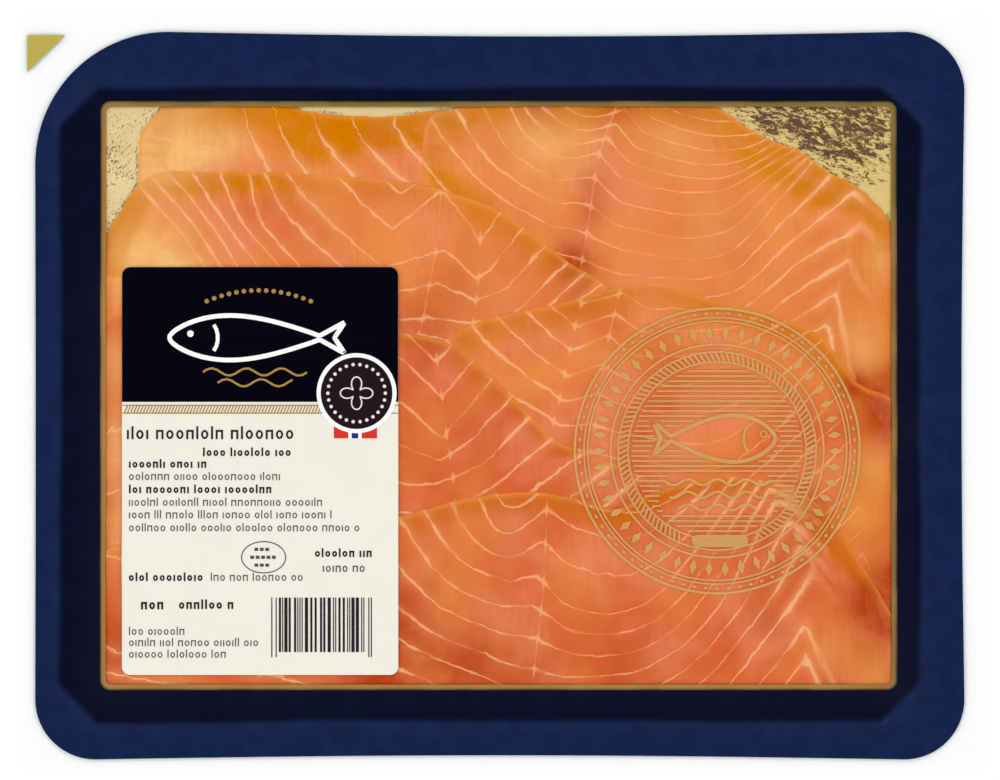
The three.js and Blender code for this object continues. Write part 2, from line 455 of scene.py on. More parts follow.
def make_salmon():
    """Muscle, a pale halo beside each fat line, dark and light fibres, the fat lines, and last
    the yellower edge where the slice thins out."""
    flesh = Finish("smoked salmon", Roughness=0.45, Specular_IOR_Level=0.0)
    here = flesh.place()
    patch = flesh.noise(here, 6.5, 3, 0.6, 0.6)
    fibre = flesh.noise(flesh.place((1, 0.12, 1), 0.05), 0.8, 2, 0.6)
    distance = flake_distance(flesh, patch)
    line = fat_lines(flesh, patch, distance)
    fat = flesh.field("fat")
    halo = flesh.times(flesh.ramp(distance, 2.6, 0.0), flesh.ramp(fat, 0.3, 0.9, 0, 0.34))
    colour = flesh.mix(halo, muscle_colour(flesh, patch), linear(238, 164, 112))
    threads = flesh.ramp(flesh.noise(here, 15, 2), 0.4, 0.62, 0.05, 0.28)
    threads = flesh.times(flesh.math("SUBTRACT", fibre, 0.5), threads)
    shade = flesh.plus(threads, flesh.scaled(patch, 0.16, 0.92))
    colour = flesh.shaded(colour, shade)
    strength = flesh.times(line, flesh.scaled(fat, 0.4, 0.52))
    strength = flesh.times(strength, flesh.ramp(fat, 0.0, 0.1))
    strength = flesh.times(strength, flesh.scaled(flesh.field("soft"), -0.55, 1.0))
    colour = flesh.mix(strength, colour, linear(244, 178, 126))
    thin = flesh.times(flesh.field("thin"), flesh.ramp(patch, 0.3, 0.6, 0.3, 0.6))
    flesh.colour(flesh.mix(thin, colour, linear(226, 147, 56)))
    relief = flesh.scaled(fibre, 0.25, flesh.times(line, -0.5))
    flesh.bump(relief, 0.3, 0.12)
    return flesh.material


salmon = make_salmon()
print("material:", salmon.name)

# %% [markdown]
# ## The run of the fat lines
# On a slice the lines run in long waves: down to the middle seam, up again, then up in a fan
# towards the thin belly end. A few of them are given as knots, and all the others lie evenly
# between. Where a line turns in a sharp V, the curve has a different slope on each side.

# %% Fat line helpers
STEP = 0.25         # the lines are followed at every quarter of a flake


def knots_at(guides, number):
    """Knots of line `number`: the mean of the two nearest guide lines, weighted by nearness. Past
    the outermost guide, it is that one moved on by the mean gap between it and the next."""
    numbers = sorted(guides)
    below = max([n for n in numbers[:-1] if n <= number], default=numbers[0])
    above = numbers[numbers.index(below) + 1]
    low, high = (np.array(guides[n], float) for n in (below, above))
    share = (number - below) / (above - below)
    inside = min(max(share, 0.0), 1.0)
    return low + inside * (high - low) + (share - inside) * (high - low).mean(0)


def line_height(x, knots, sharp):
    """y of one line at each x: a cubic between each two knots, with the slope of the chord
    between the neighbours at a smooth knot, and each side's own slope at a sharp one."""
    kx, ky = knots[:, 0].copy(), knots[:, 1]
    for k in range(1, len(kx)):
        kx[k] = max(kx[k], kx[k - 1] + 0.5)
    slope = np.diff(ky) / np.diff(kx)
    into, out = np.append(slope[0], slope), np.append(slope, slope[-1])
    smooth_knots = [k for k in range(1, len(kx) - 1) if k not in sharp]
    for k in smooth_knots:
        into[k] = out[k] = (ky[k + 1] - ky[k - 1]) / (kx[k + 1] - kx[k - 1])
    inside = np.clip(x, kx[0], kx[-1])
    part = np.clip(np.searchsorted(kx, inside) - 1, 0, len(kx) - 2)
    run = kx[part + 1] - kx[part]
    t = (inside - kx[part]) / run
    bend = t * t * (3 - 2 * t)
    y = ky[part] * (1 - bend) + ky[part + 1] * bend
    y += run * (out[part] * t * (1 - t) ** 2 - into[part + 1] * t * t * (1 - t))
    return y + (x - inside) * np.where(x < kx[0], slope[0], slope[-1])


def flake_number(x, y, guides, sharp, span):
    """Line number at each point, counted down the slice: how many lines lie above it, with the
    share of the gap between the last line above it and the first one below."""
    levels = np.arange(span[0], span[1] + STEP, STEP)
    heights = [line_height(x, knots_at(guides, level), sharp) for level in levels]
    total = np.full(x.shape, float(span[0]))
    for upper, lower in zip(heights[:-1], heights[1:]):
        total += STEP * np.clip((upper - y) / np.maximum(upper - lower, 0.05), 0, 1)
    return total


def along_knots(x, flake, guides, values):
    """A value given at each knot, spread evenly along each line between its knots."""
    numbers = sorted(guides)
    first, last = numbers[0], numbers[-1]
    share = (flake - first) / (last - first)
    start, end = np.array(guides[first], float), np.array(guides[last], float)
    places = [start[k, 0] + share * (end[k, 0] - start[k, 0]) for k in range(len(start))]
    result = np.full(x.shape, float(values[0]))
    for k in range(len(values) - 1):
        gap = np.maximum(places[k + 1] - places[k], 0.5)
        result += (values[k + 1] - values[k]) * np.clip((x - places[k]) / gap, 0, 1)
    return result, places


print("the fat lines are followed at every", STEP, "of a flake")

# %% [markdown]
# ## The six slices
# A slice could be cut from a solid with its lines already in it, but six slices that each look
# right are easier to set one by one. Each has an `outline` and a few guide `lines` by line number.
# `sharp` names the knots where a line turns in a V, `fat` says how strong it is at each knot, and
# `seams` are the knots along the middle seam and the bend beside it. `span` is the first and last
# line number, `tone` goes from orange to coral, and `rim` is how smoked the edge is at the left, in
# the middle and at the right, and how wide. They are listed in the order in which they were laid.

# %% Slice outlines and guide lines in millimetres
SLICES = {
    "slice_far_left": {
        "outline": [(-86.5, 62), (-85.5, 64.5), (-80, 70), (-68, 72), (-54, 71.5), (-46.5, 69),
                    (-36, 67.6), (-24, 67.6), (-12, 69), (-2, 64), (-4.5, 47), (-24, 39),
                    (-52.5, 39), (-79, 41), (-86.5, 49.5)],
        "lines": {0: [(-37, 71.5), (-34, 63.5), (-30, 58.5), (-24, 53), (-19, 49.5)],
                  2: [(-56, 73), (-53, 65), (-50, 59), (-45.5, 53), (-42.5, 49.5)],
                  3: [(-63, 73), (-60, 63.5), (-57.5, 58.5), (-55, 53), (-53, 49.5)]},
        "sharp": [], "fat": [0.1, 0.3, 0.9, 0.8, 0.4], "seams": (None, None), "span": (-3.5, 3.5),
        "tone": 0.2, "rim": (0.7, 1.3, 1.3, 15.0)},
    "slice_far_right": {
        "outline": [(-17, 66.5), (-10.5, 69.5), (-2, 72), (14.5, 74), (34, 73.5), (48.5, 71),
                    (53.5, 69), (59, 65.5), (65.5, 61.5), (72.5, 59), (79.5, 54), (87.5, 49.5),
                    (94.5, 42), (98.5, 33), (99, 10), (98, -10), (86, -14), (70, -4), (48.5, 8),
                    (24.5, 16), (5, 25.5), (-9.5, 40), (-18, 54.5)],
        "lines": {0: [(1.5, 72.5), (6, 64), (15, 57.5), (24, 58.5), (29.5, 52.5), (52, 49.5),
                      (64, 55), (91.5, 72.5), (106, 56)],
                  3: [(-19, 70), (-7, 54), (11, 42), (20, 39.5), (29.5, 35.5), (54, 34),
                      (69, 49), (83, 67), (96.5, 55.5)],
                  6: [(-38, 59), (-24, 40), (-4.5, 25.5), (18.5, 19.5), (29.5, 18),
                      (56.5, 20.5), (74, 33.5), (86.5, 41), (96, 32)],
                  8: [(-41, 46), (-27, 27.5), (-7.5, 13), (15.5, 7), (28, 5.5), (54, 8),
                      (72, 19), (81, 25), (84, 8)]},
        "sharp": [3, 7], "fat": [0.55, 0.35, 0.15, 0.25, 0.1, 0.12, 0.4, 0.9, 0.1], "seams": (3, None),
        "span": (-5.5, 14.5), "tone": 0.3, "rim": (1.0, 0.8, 1.9, 12.0)},
    "slice_left": {
        "outline": [(-97, 32.5), (-95, 37.5), (-91.5, 44.5), (-86, 51.5), (-80.5, 54), (-72, 54),
                    (-57.5, 54), (-43, 53), (-26, 52), (-13, 49.5), (0, 44.5), (8.5, 38.5),
                    (16.5, 32.5), (24.5, 27.5), (27, 23), (22, 16), (5, 8.5), (-16.5, 6),
                    (-48, 6.5), (-76.5, 12), (-98, 16)],
        "lines": {0: [(-50, 66.5), (-37, 51), (-25.5, 40), (-14, 49.5), (-4.5, 37.5),
                      (0.5, 44), (7.5, 53)],
                  1: [(-57, 61.5), (-45, 46), (-27.5, 31), (-13, 35), (-5.5, 28.5), (0, 33),
                      (10, 46)],
                  3: [(-60.5, 55.5), (-57, 41), (-31, 17), (-17, 19), (-6, 17.5), (4.5, 21),
                      (18.5, 34)],
                  6: [(-82, 56), (-69.5, 42), (-46, 2), (-22, 6), (-8, 4), (9, 8), (27, 23)]},
        "sharp": [2, 3, 4], "fat": [0.5, 0.6, 0.3, 0.4, 0.45, 0.25, 0.7], "seams": (3, 4),
        "span": (-1.5, 8.5), "tone": 0.3, "rim": (2.4, 0.35, 0.8, 8.0)},
    "slice_right": {
        "outline": [(-14.5, 10.5), (-10.5, 15), (-4.5, 18), (2.5, 20), (11, 21.5), (19.5, 23.5),
                    (29, 26.5), (38.5, 27), (48.5, 24), (59, 21.5), (69.5, 18), (76, 15.5),
                    (81.5, 9.5), (86.5, 3), (94.5, -0.5), (98.5, -5.5), (99, -35), (99, -62), (90, -64),
                    (78, -48), (66, -36), (48.5, -32), (24.5, -26), (5, -15.5), (-9.5, -3)],
        "lines": {1: [(0, 29), (9.5, 17.5), (17, 11), (26.5, 14.5), (34, 10.5), (53, 11),
                      (66.5, 17), (84.5, 25.5), (96.5, 16)],
                  4: [(-19, 21), (-2.5, 4), (14.5, -7), (22, -6.5), (34, -10), (52, -11),
                      (63.5, -4.5), (84.5, 16), (96.5, 5)],
                  7: [(-40.5, 4), (-19, -10.5), (7.5, -23.5), (18.5, -25), (34, -28.5),
                      (58, -27.5), (73, -14), (88.5, 0), (97, -6)],
                  9: [(-42, -6), (-20, -21), (6, -34), (17, -36), (33, -39), (57, -38),
                      (78, -23), (88.5, -14), (93.5, -25)]},
        "sharp": [2, 3, 7], "fat": [0.8, 0.35, 0.45, 0.35, 0.2, 0.1, 0.4, -0.1, -0.9], "seams": (3, 2),
        "span": (-4.5, 14.5), "tone": 0.4, "rim": (0.7, 0.45, 1.2, 8.0)},
    "slice_middle": {
        "outline": [(-97, 16), (-72, 19), (-48, 18.5), (-24.5, 15.5), (-14, 13.5), (-7, 9.5),
                    (1.5, 1.5), (7.5, -4.5), (13.5, -10.5), (22, -14), (30.5, -17.5),
                    (37.5, -21.5), (34, -32), (14.5, -35.5), (-12, -37), (-48, -41), (-84, -44),
                    (-99, -44), (-99, -25)],
        "lines": {1: [(-40.5, 21), (-23, 8), (-14, 0), (-10.5, 3.5), (0, 16)],
                  2: [(-40.5, 12.5), (-21.5, -3.5), (-14, -10), (-8.5, -3.5), (4, 10)],
                  4: [(-40.5, -17.5), (-24.5, -20), (-16, -21.5), (-3, -15.5), (14.5, 1.5)],
                  6: [(-40.5, -35.5), (-24, -35.5), (-9.5, -34.5), (7, -23.5), (24.5, -9.5)]},
        "sharp": [2], "fat": [0.5, 0.4, 0.35, 0.4, 0.85], "seams": (None, 2), "span": (-2.5, 9.5),
        "tone": 0.8, "rim": (0.3, 0.5, 0.7, 6.0)},
    "slice_near": {
        "outline": [(-97, -39.5), (-72, -34.5), (-48, -32), (-24.5, -29), (-18, -27),
                    (-4.5, -24), (7.5, -23), (18.5, -24.5), (28, -27), (36, -23.5), (46, -20.5),
                    (58, -19.5), (70, -21.5), (76, -25.5), (80.5, -30.5), (86.5, -39.5),
                    (91.5, -47.5), (95.5, -55), (98.5, -63.5), (97.5, -73), (72.5, -74),
                    (24.5, -74.5), (-24, -74.5), (-72, -74), (-97, -73)],
        "lines": {0: [(-10.5, -10.5), (-2.5, -29.5), (2, -32.5), (11.5, -26.5), (19.5, -32),
                      (34, -33.5), (46.5, -25), (62.5, -5.5), (77, -15.5)],
                  2: [(-25, -13), (-12.5, -35.5), (1, -44), (8.5, -43), (17.5, -51),
                      (34, -50.5), (44, -40.5), (62.5, -16.5), (79.5, -25)],
                  5: [(-38, -39.5), (-18, -55.5), (-2, -62.5), (6, -65), (19.5, -67.5),
                      (38.5, -63.5), (53.5, -49.5), (66.5, -25), (84.5, -34.5)],
                  8: [(-38, -70.5), (-18, -74), (-2, -80), (6, -83.5), (24.5, -85),
                      (48.5, -76.5), (67, -54.5), (76, -41.5), (84, -52.5)],
                  9: [(-38, -77), (-18, -81), (-2, -87), (6, -91), (24.5, -93), (54, -79),
                      (69, -61), (73.5, -54.5), (79, -66)]},
        "sharp": [3, 7], "fat": [0.6, 0.35, 0.25, 0.4, 0.2, 0.15, 0.45, 0.95, 0.3], "seams": (3, None),
        "span": (-2.5, 14.5), "tone": 0.66, "rim": (0.75, 0.7, 1.5, 7.0)},
}
# Soft spots of paler, of redder (some of them painted shade) and of smoke-browned flesh: place, radius
# and strength
PALE_SPOTS = [(-86, 63, 9, 0.9), (-74, 67, 7, 0.5), (-70, 60, 6, 0.7), (-77, 57, 6, 0.8),
              (-84, 54, 5, 0.8), (-63, 62, 5, 0.5), (-78, 30, 9, 0.8), (-87, 33, 9, 0.9),
              (8, 64, 7, 0.5), (-94, 8, 8, 0.5), (-94, -12, 9, 0.6), (-94, -30, 9, 0.5),
              (15, 60, 10, 0.35), (41, 62, 10, 0.3), (52, 40, 8, 0.25), (92, 33, 5, 0.5),
              (87, 14, 5, 0.35), (89, 8, 4, 0.4), (91, -17, 5, 0.3), (86, -30, 4, 0.25),
              (80, -62, 5, 0.25), (90, -66, 6, 0.4)]
# Some red spots are painted shade: those along the far edge under the window line, those in the fold on
# the right, and the one in the gap at (76, -27)
RED_AND_SHADE_SPOTS = [(18, 33, 5, 0.8), (23, 51, 4, 0.4), (22, 44, 4, 0.5), (20, 27, 6, 0.4),
             (-17, 17, 8, 0.5), (-8, 26, 8, 0.25), (94, -4, 7, 1.3), (85, 3, 3.5, 0.9), (93, 4, 5, 0.5),
             (-26, -52, 11, 0.7), (-30, -66, 10, 0.9), (-8, -64, 9, 0.8), (8, -67, 8, 0.5),
             (-32, -16, 8, 0.6), (94, -54, 7, 1.0), (88, -49, 5, 0.8), (94, -44, 6, 0.7),
             (76, -27, 5, 0.6), (64, -54.5, 4, 0.5), (10, 74, 7, 0.8), (28, 74, 7, 0.9),
             (44, 73, 6, 0.6), (30, -66, 9, 0.3), (-90, -60, 8, 0.6)]
SMOKED_SPOTS = [(78, 15, 3.5, 0.6), (83, 9, 3, 0.5), (86, -62, 6, 0.6), (93, -66, 8, 0.7),
                (82, -32, 5, 0.5), (94, 16, 4, 0.5), (92, -1.5, 4.5, 0.9), (92, -32, 8, 0.6),
                (88, -20, 6, 0.5)]
print("slices:", ", ".join(SLICES))

# %% [markdown]
# ## Laying the slices
# A slice is thin at its edge and lies over those laid before it. Cloth simulation would settle it,
# but it could also slip, and its lines with it. So each slice is a sheet in rings round its
# middle with the stack so far as its underside, and its thickness is added to the stack.

# %% Laying the slices on the board
AROUND, OUTWARD = 340, 60       # points round a slice, and from its middle to its edge
EDGE, THINNING = 0.06, 10.0     # a slice's thickness at its edge, and how far in it is full
FAR = 50.0                      # stands for "no such seam here", in millimetres


def spots(x, y, places):
    """Soft round spots, each at its strength in the middle and fading as a bell curve."""
    total = np.zeros_like(x)
    for spot_x, spot_y, radius, strength in places:
        total += strength * np.exp(-((x - spot_x) ** 2 + (y - spot_y) ** 2) / radius ** 2)
    return np.clip(total, 0, 1)


def slice_depth(depth):
    """Thickness from the distance to the edge: thin there, then rising as a quarter of a sine."""
    share = np.clip(depth / THINNING, 0, 1)
    return EDGE + (SLICE_THICKNESS - EDGE) * np.sin(share * math.pi / 2)


def slice_fields(x, y, depth, upward, recipe):
    """Every number that the flesh material reads, at each point of a slice."""
    shift_x, shift_y = 0.7 * waves(x, y, 26, 3), 0.7 * waves(x, y, 22, 4)
    px, py = x + shift_x, y + shift_y
    rules = (recipe["lines"], recipe["sharp"], recipe["span"])
    flake = flake_number(px, py, *rules)
    slope_x = (flake_number(px + 0.6, py, *rules) - flake) / 0.6
    slope_y = (flake_number(px, py + 0.6, *rules) - flake) / 0.6
    spacing = np.clip(1 / np.maximum(np.hypot(slope_x, slope_y), 0.05), 0.8, 14)
    fat, places = along_knots(px, flake, recipe["lines"], recipe["fat"])
    fat = np.maximum(fat, 0)
    # Past the eighth knot the flesh is belly, where the lines go soft and fade out
    past_peak = px - places[7] if len(places) > 7 else np.full(x.shape, -FAR)
    soft = smooth(past_peak, -1, 4)
    fat *= 1 - smooth(past_peak, 3, 11)
    seams = [px - places[k] if k else np.full(x.shape, FAR) for k in recipe["seams"]]
    # The smoked rim runs along the far edge, full on its outer part, and down the right side
    *strengths, width = recipe["rim"]
    strength = np.interp(x, [x.min(), x.mean(), x.max()], strengths)
    width = width * (1 + 0.5 * waves(x, y, 34, 5))
    rim = strength * smooth(depth, width, 0.3 * width) * smooth(upward, -0.2, 0.35)
    rim *= 0.6 + 0.4 * smooth(depth, 0, 1.5)
    rim = np.maximum(rim, 0.4 * smooth(x, 80, 92) * (1 + waves(x, y, 18, 6)))
    rim = np.clip(np.maximum(rim, spots(x, y, SMOKED_SPOTS)), 0, 1)
    pale = spots(x, y, PALE_SPOTS) * (1 - 0.4 * rim)
    thin = smooth(depth, 1.6, 0.1)
    # Along the window the flesh is redder: painted shade where the film pulls down at the edge of the
    # pile, and flesh pressed by the film
    pressed_and_shaded = np.maximum(smooth(np.abs(x), 91.5, 95.5), smooth(-y, 67.5, 70.5))
    red = np.clip(spots(x, y, RED_AND_SHADE_SPOTS) + 0.4 * pressed_and_shaded, 0, 1)
    tone = np.full(x.shape, recipe["tone"])
    return {"flake": flake, "spacing": spacing, "fat": fat, "middle": seams[0],
            "crook": seams[1], "rim": rim, "pale": pale, "red": red, "tone": tone, "thin": thin,
            "soft": soft}


def lay_slice(name, recipe, stack):
    """A slice on the stack: its underside is the stack with small hollows bridged, and its top is
    that plus the thickness. Returns the new stack."""
    outline = smooth_loop(recipe["outline"], AROUND)
    heart = outline.mean(0)
    ragged = 0.35 * waves(*outline.T, 7, 13) + 0.25 * waves(*outline.T, 2.6, 14)
    outline += ragged[:, None] * (outline - heart) / np.hypot(*(outline - heart).T)[:, None]
    share = (np.linspace(0, 1, OUTWARD) ** 0.8)[:, None]
    x = heart[0] + (outline[:, 0] - heart[0]) * share
    y = heart[1] + (outline[:, 1] - heart[1]) * share
    depth = np.maximum(depth_in(outline, x, y), 0)
    tangent = np.roll(outline, -1, 0) - np.roll(outline, 1, 0)
    upward = np.broadcast_to(np.abs(tangent[:, 0]) / np.hypot(*tangent.T)
                             * np.sign(outline[:, 1] - heart[1]), x.shape)
    bed = drape(stack, 1.6, 3)
    under = sample(bed, x + CENTRE[0], y + CENTRE[1])
    fields = slice_fields(x, y, depth, upward, recipe)
    bulge = np.cos(2 * math.pi * fields["flake"]) * smooth(fields["spacing"], 3, 5)
    top = under + slice_depth(depth) - 0.07 * bulge * smooth(depth, 1, 6)
    sheet = sheet_arrays(x + CENTRE[0], y + CENTRE[1], top, under, wrap=True, pole=True)
    piece = put_mesh(name, [sheet], salmon, merge=True, fields=fields)
    inside = depth_in(outline, GX - CENTRE[0], GY - CENTRE[1])
    return np.where(inside > 0, bed + slice_depth(inside), stack)


board_inside = cut_depth(GX - BOARD_CENTRE[0], GY - BOARD_CENTRE[1], BOARD, BOARD_CUT)
board_top = FILM_THICKNESS + BOARD_THICKNESS
stack = np.where(board_inside > -1.6, board_top, FILM_THICKNESS)
for name, recipe in SLICES.items():
    stack = lay_slice(name, recipe, stack)
print("highest slice", round(float(stack.max()), 2), "mm")

# %% [markdown]
# ## The foil board
# The slices lie on card faced with gold foil. It is a flat plate with its four corners cut off.
# Foil pressed on card is finely creased: noise of many layers, in colour and in bump, gives the
# creases. Where the foil is most crinkled, brown patches are painted reflection of the dark room in
# its creases, and a thin dark line beside each slice is painted shadow.

# %% Gold foil material and the board
def make_foil():
    """Pale gold, dark flecks where stretched noise passes a threshold, painted reflection of the dark
    room as brown where most creased, and a painted shadow line beside the slices.
    """
    foil = Finish("gold foil", Metallic=0.2, Roughness=0.35)
    slant = foil.place((1, 2.4, 1), 1.0)
    crease = foil.noise(foil.place((1, 2.2, 1), -0.35), 2.2, 8, 0.8, 0.7)
    fleck = foil.noise(slant, 0.95, 3, 0.65)
    sheen = foil.noise(foil.place(), 16, 2)
    gold = foil.mix(foil.ramp(sheen, 0.3, 0.7), linear(240, 217, 160), linear(229, 202, 138))
    gold = foil.mix(foil.field("deep"), gold, linear(230, 200, 124))
    fleck_edge = foil.scaled(foil.field("flecked"), -0.13, 0.72)
    cluster = foil.scaled(foil.noise(foil.place(), 6, 2), -0.35, 0.16)
    flecks = foil.plus(foil.math("SUBTRACT", fleck, fleck_edge), cluster)
    gold = foil.mix(foil.ramp(flecks, -0.01, 0.02, 0, 0.85), gold, linear(112, 92, 62))
    # Brown patches where the foil is most crinkled: painted reflection of the dark room in its creases
    edge = foil.scaled(foil.field("crumple_reflection"), -0.215, 0.685)
    patches = foil.math("SUBTRACT", crease, edge)
    gold = foil.mix(foil.ramp(patches, -0.008, 0.01), gold, linear(98, 68, 44))
    # A thin dark line beside each slice is painted shadow, where the film bridges from the slice down
    # to the foil
    beside_slice = foil.ramp(foil.field("slice_shadow"), 0.9, 0.25, 0, 0.8)
    slice_shadow = foil.times(beside_slice, foil.ramp(fleck, 0.42, 0.56))
    gold = foil.mix(slice_shadow, gold, linear(96, 84, 84))
    foil.colour(gold)
    foil.bump(foil.plus(crease, foil.times(fleck, 0.3)), 0.4, 0.3)
    return foil.material


# Where the painted reflection of the dark room is strongest: place, radius and strength
CRUMPLE_REFLECTION_SPOTS = [(64, 72, 10, 1), (80, 65, 13, 1.1), (92, 64, 9, 0.5), (88, 52, 7, 0.35)]


def make_board():
    """A grid warped to the cut-off corners: rows shrink where they pass through a corner."""
    rows = np.linspace(-1, 1, 104)[:, None] * BOARD[1] / 2
    reach = BOARD[0] / 2 - np.maximum(np.abs(rows) - (BOARD[1] / 2 - BOARD_CUT), 0)
    x = np.linspace(-1, 1, 138)[None, :] * reach + BOARD_CENTRE[0] - CENTRE[0]
    y = np.broadcast_to(rows, x.shape) + BOARD_CENTRE[1] - CENTRE[1]
    top = np.full(x.shape, board_top) + 0.03 * waves(x, y, 9, 8)
    crumple_reflection = spots(x, y, CRUMPLE_REFLECTION_SPOTS)
    outlines = [smooth_loop(recipe["outline"], AROUND) for recipe in SLICES.values()]
    # Distance to the nearest slice edge, for the painted shadow line beside the slices
    slice_shadow = np.min([np.abs(depth_in(outline, x, y)) for outline in outlines], axis=0)
    fields = {"flecked": smooth(x, -30, -60) * 0.8 + 0.2, "crumple_reflection": crumple_reflection, "slice_shadow": slice_shadow,
              "deep": smooth(x, 20, 70)}
    sheet = sheet_arrays(x + CENTRE[0], y + CENTRE[1], top, np.full(x.shape, FILM_THICKNESS))
    board = put_mesh("foil_board", [sheet], make_foil(), fields=fields)


make_board()

# %% [markdown]
# ## The films
# The pouch is two clear films sealed together round the board. The vacuum pulls the front one
# down on everything, so its shape is the stack with a sheet draped over it. Clear film is made of
# a transparent and a glossy shader. The glossy share grows towards a glancing view, as one minus
# the facing share to the fifth power, which is the usual short form of Fresnel's law.

# %% Clear film
def make_clear_film():
    """Transparent mixed with gloss: the share of gloss is 0.006 + 0.2 (1 - facing)^5."""
    film = Finish("clear film")
    film.nodes.remove(film.shader)
    clear = film.node("ShaderNodeBsdfTransparent", {"Color": (0.997, 0.9985, 1, 1)})
    ripple = film.noise(film.place(), 7, 3)
    bump = film.node("ShaderNodeBump", {"Height": ripple, "Strength": 0.25, "Distance": 0.4 * MM})
    gloss = film.node("ShaderNodeBsdfGlossy", {
        "Color": (1, 1, 1, 1), "Roughness": 0.12, "Normal": bump.outputs[0]})
    turned = film.node("ShaderNodeLayerWeight", {"Blend": 0.5}).outputs["Facing"]
    share = film.scaled(film.math("POWER", turned, 5.0), 0.2, 0.006)
    both = film.node("ShaderNodeMixShader", {0: share, 1: clear.outputs[0], 2: gloss.outputs[0]})
    film.links.new(both.outputs[0], film.nodes["Material Output"].inputs["Surface"])
    return film.material


FILM_GAP = 0.1          # from the slices to the front film
FILM_RIPPLE = 0.08      # how much the sealed margin lifts off the back film
clear_film = make_clear_film()
margin = smooth(board_inside, -2, -7)
film_under = drape(stack, 1.4, 4) + FILM_GAP
film_under += margin * FILM_RIPPLE * (1 + waves(GX, GY, 30, 11))
film_top = film_under + FRONT_THICKNESS
front_sheet = sheet_arrays(GX, GY, film_top, film_under)
front_film = put_mesh("front_film", [front_sheet], clear_film)
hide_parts("sealed_pouch")

back_x, back_y = np.meshgrid(np.linspace(-0.5, 0.5, 48) * FILM_LENGTH,
                             np.linspace(-0.5, 0.5, 38) * FILM_WIDTH)
back_sheet = sheet_arrays(back_x, back_y, np.full(back_x.shape, FILM_THICKNESS - 0.01),
                          np.zeros(back_x.shape))
back_film = put_mesh("back_film", [back_sheet], clear_film)
print("film top", round(float(film_top.max()), 2), "mm")

# %% [markdown]
# ## Print on the film
# Printed ink is far thinner than anything that can be modelled, but as a piece of its own a field
# of ink keeps a crisp outline at any distance. So each print is a very thin closed sheet a little
# above the film, shaped by the same height map. A frame is a ring of rows between two outlines.

# %% Print helpers
INK = 0.03                              # thickness of a print
PRINT_LIFT, LINE_LIFT = 0.03, 0.08      # from the film to the navy and to the gold line over it


def over_film(x, y):
    return sample(film_top, x, y)


def ring(outer, inner, rows, surface, lift):
    """Rows of points from the outer outline to the inner one, laid on the surface."""
    share = np.linspace(0, 1, rows)[:, None]
    x = outer[:, 0] * (1 - share) + inner[:, 0] * share
    y = outer[:, 1] * (1 - share) + inner[:, 1] * share
    base = surface(x, y) + lift
    return sheet_arrays(x, y, base + INK, base, wrap=True), x, y, share + 0 * x


def stroke(path, width, surface, lift, closed=False, spacing=1.2):
    """A line of ink: the path cut into short steps, and moved half the width to each side."""
    points = np.array(path, float)
    if closed:
        points = np.vstack([points, points[:1]])
    length = np.concatenate([[0], np.cumsum(np.hypot(*np.diff(points, axis=0).T))])
    count = max(int(length[-1] / spacing) + 1, 2)
    places = np.linspace(0, length[-1], count, endpoint=not closed)
    line = np.stack([np.interp(places, length, points[:, k]) for k in (0, 1)])
    if closed:
        tangent = np.roll(line, -1, 1) - np.roll(line, 1, 1)
    else:
        tangent = np.gradient(line, axis=1)
    normal = np.stack([-tangent[1], tangent[0]]) / np.hypot(*tangent)
    x, y = (line[k] + normal[k] * np.array([[-0.5], [0.5]]) * width for k in (0, 1))
    base = surface(x, y) + lift
    return sheet_arrays(x, y, base + INK, base, wrap=closed)


def fill(outline, surface, lift, rows=4):
    """A field of ink: rows of points from the middle of an outline out to it."""
    outline = np.array(outline, float)
    heart = outline.mean(0)
    share = np.linspace(0, 1, rows + 1)[:, None]
    x = heart[0] + (outline[:, 0] - heart[0]) * share
    y = heart[1] + (outline[:, 1] - heart[1]) * share
    base = surface(x, y) + lift
    return sheet_arrays(x, y, base + INK, base, wrap=True, pole=True)


def film_line(path, width, closed=False, spacing=1.2):
    """A line of ink on the front film."""
    return stroke(path, width, over_film, PRINT_LIFT, closed, spacing)


def circle(centre, radius, count=96, squash=1.0):
    turn = np.linspace(0, 2 * math.pi, count, endpoint=False)
    return np.stack([centre[0] + radius * np.cos(turn),
                     centre[1] + radius * squash * np.sin(turn)], -1)


def ink(name, red, green, blue, roughness=0.45, grain=0.05, **settings):
    """Flat ink with the slight unevenness of a print: noise makes it up to `grain` darker."""
    print_ink = Finish(name, Roughness=roughness, Specular_IOR_Level=0.04, **settings)
    uneven = print_ink.noise(print_ink.place(), 1.5, 3, 0.6)
    colour = np.array(linear(red, green, blue))
    darker = tuple((colour * [1 - grain, 1 - grain, 1 - grain, 1]).tolist())
    print_ink.colour(print_ink.mix(uneven, tuple(colour.tolist()), darker))
    print_ink.bump(uneven, 0.1, 0.05)
    return print_ink.material


def print_piece(name, sheets, material):
    piece = put_mesh(name, sheets, material, merge=True)


print("ink is", INK, "mm thick, and lies", PRINT_LIFT, "mm over the film")

# %% [markdown]
# ## The navy frame, the gold line and the peel corner
# A wide navy frame is printed round the window. Its colour is painted lighter where the film hangs
# free, as light from the white table showing through, and darker as painted shade where the board lies
# behind. A thin gold line covers its inner edge, with a painted shadow along its outer side. Both
# are rings between two outlines, which keeps their edges crisp, and a field stored on their points
# says where the colour changes.

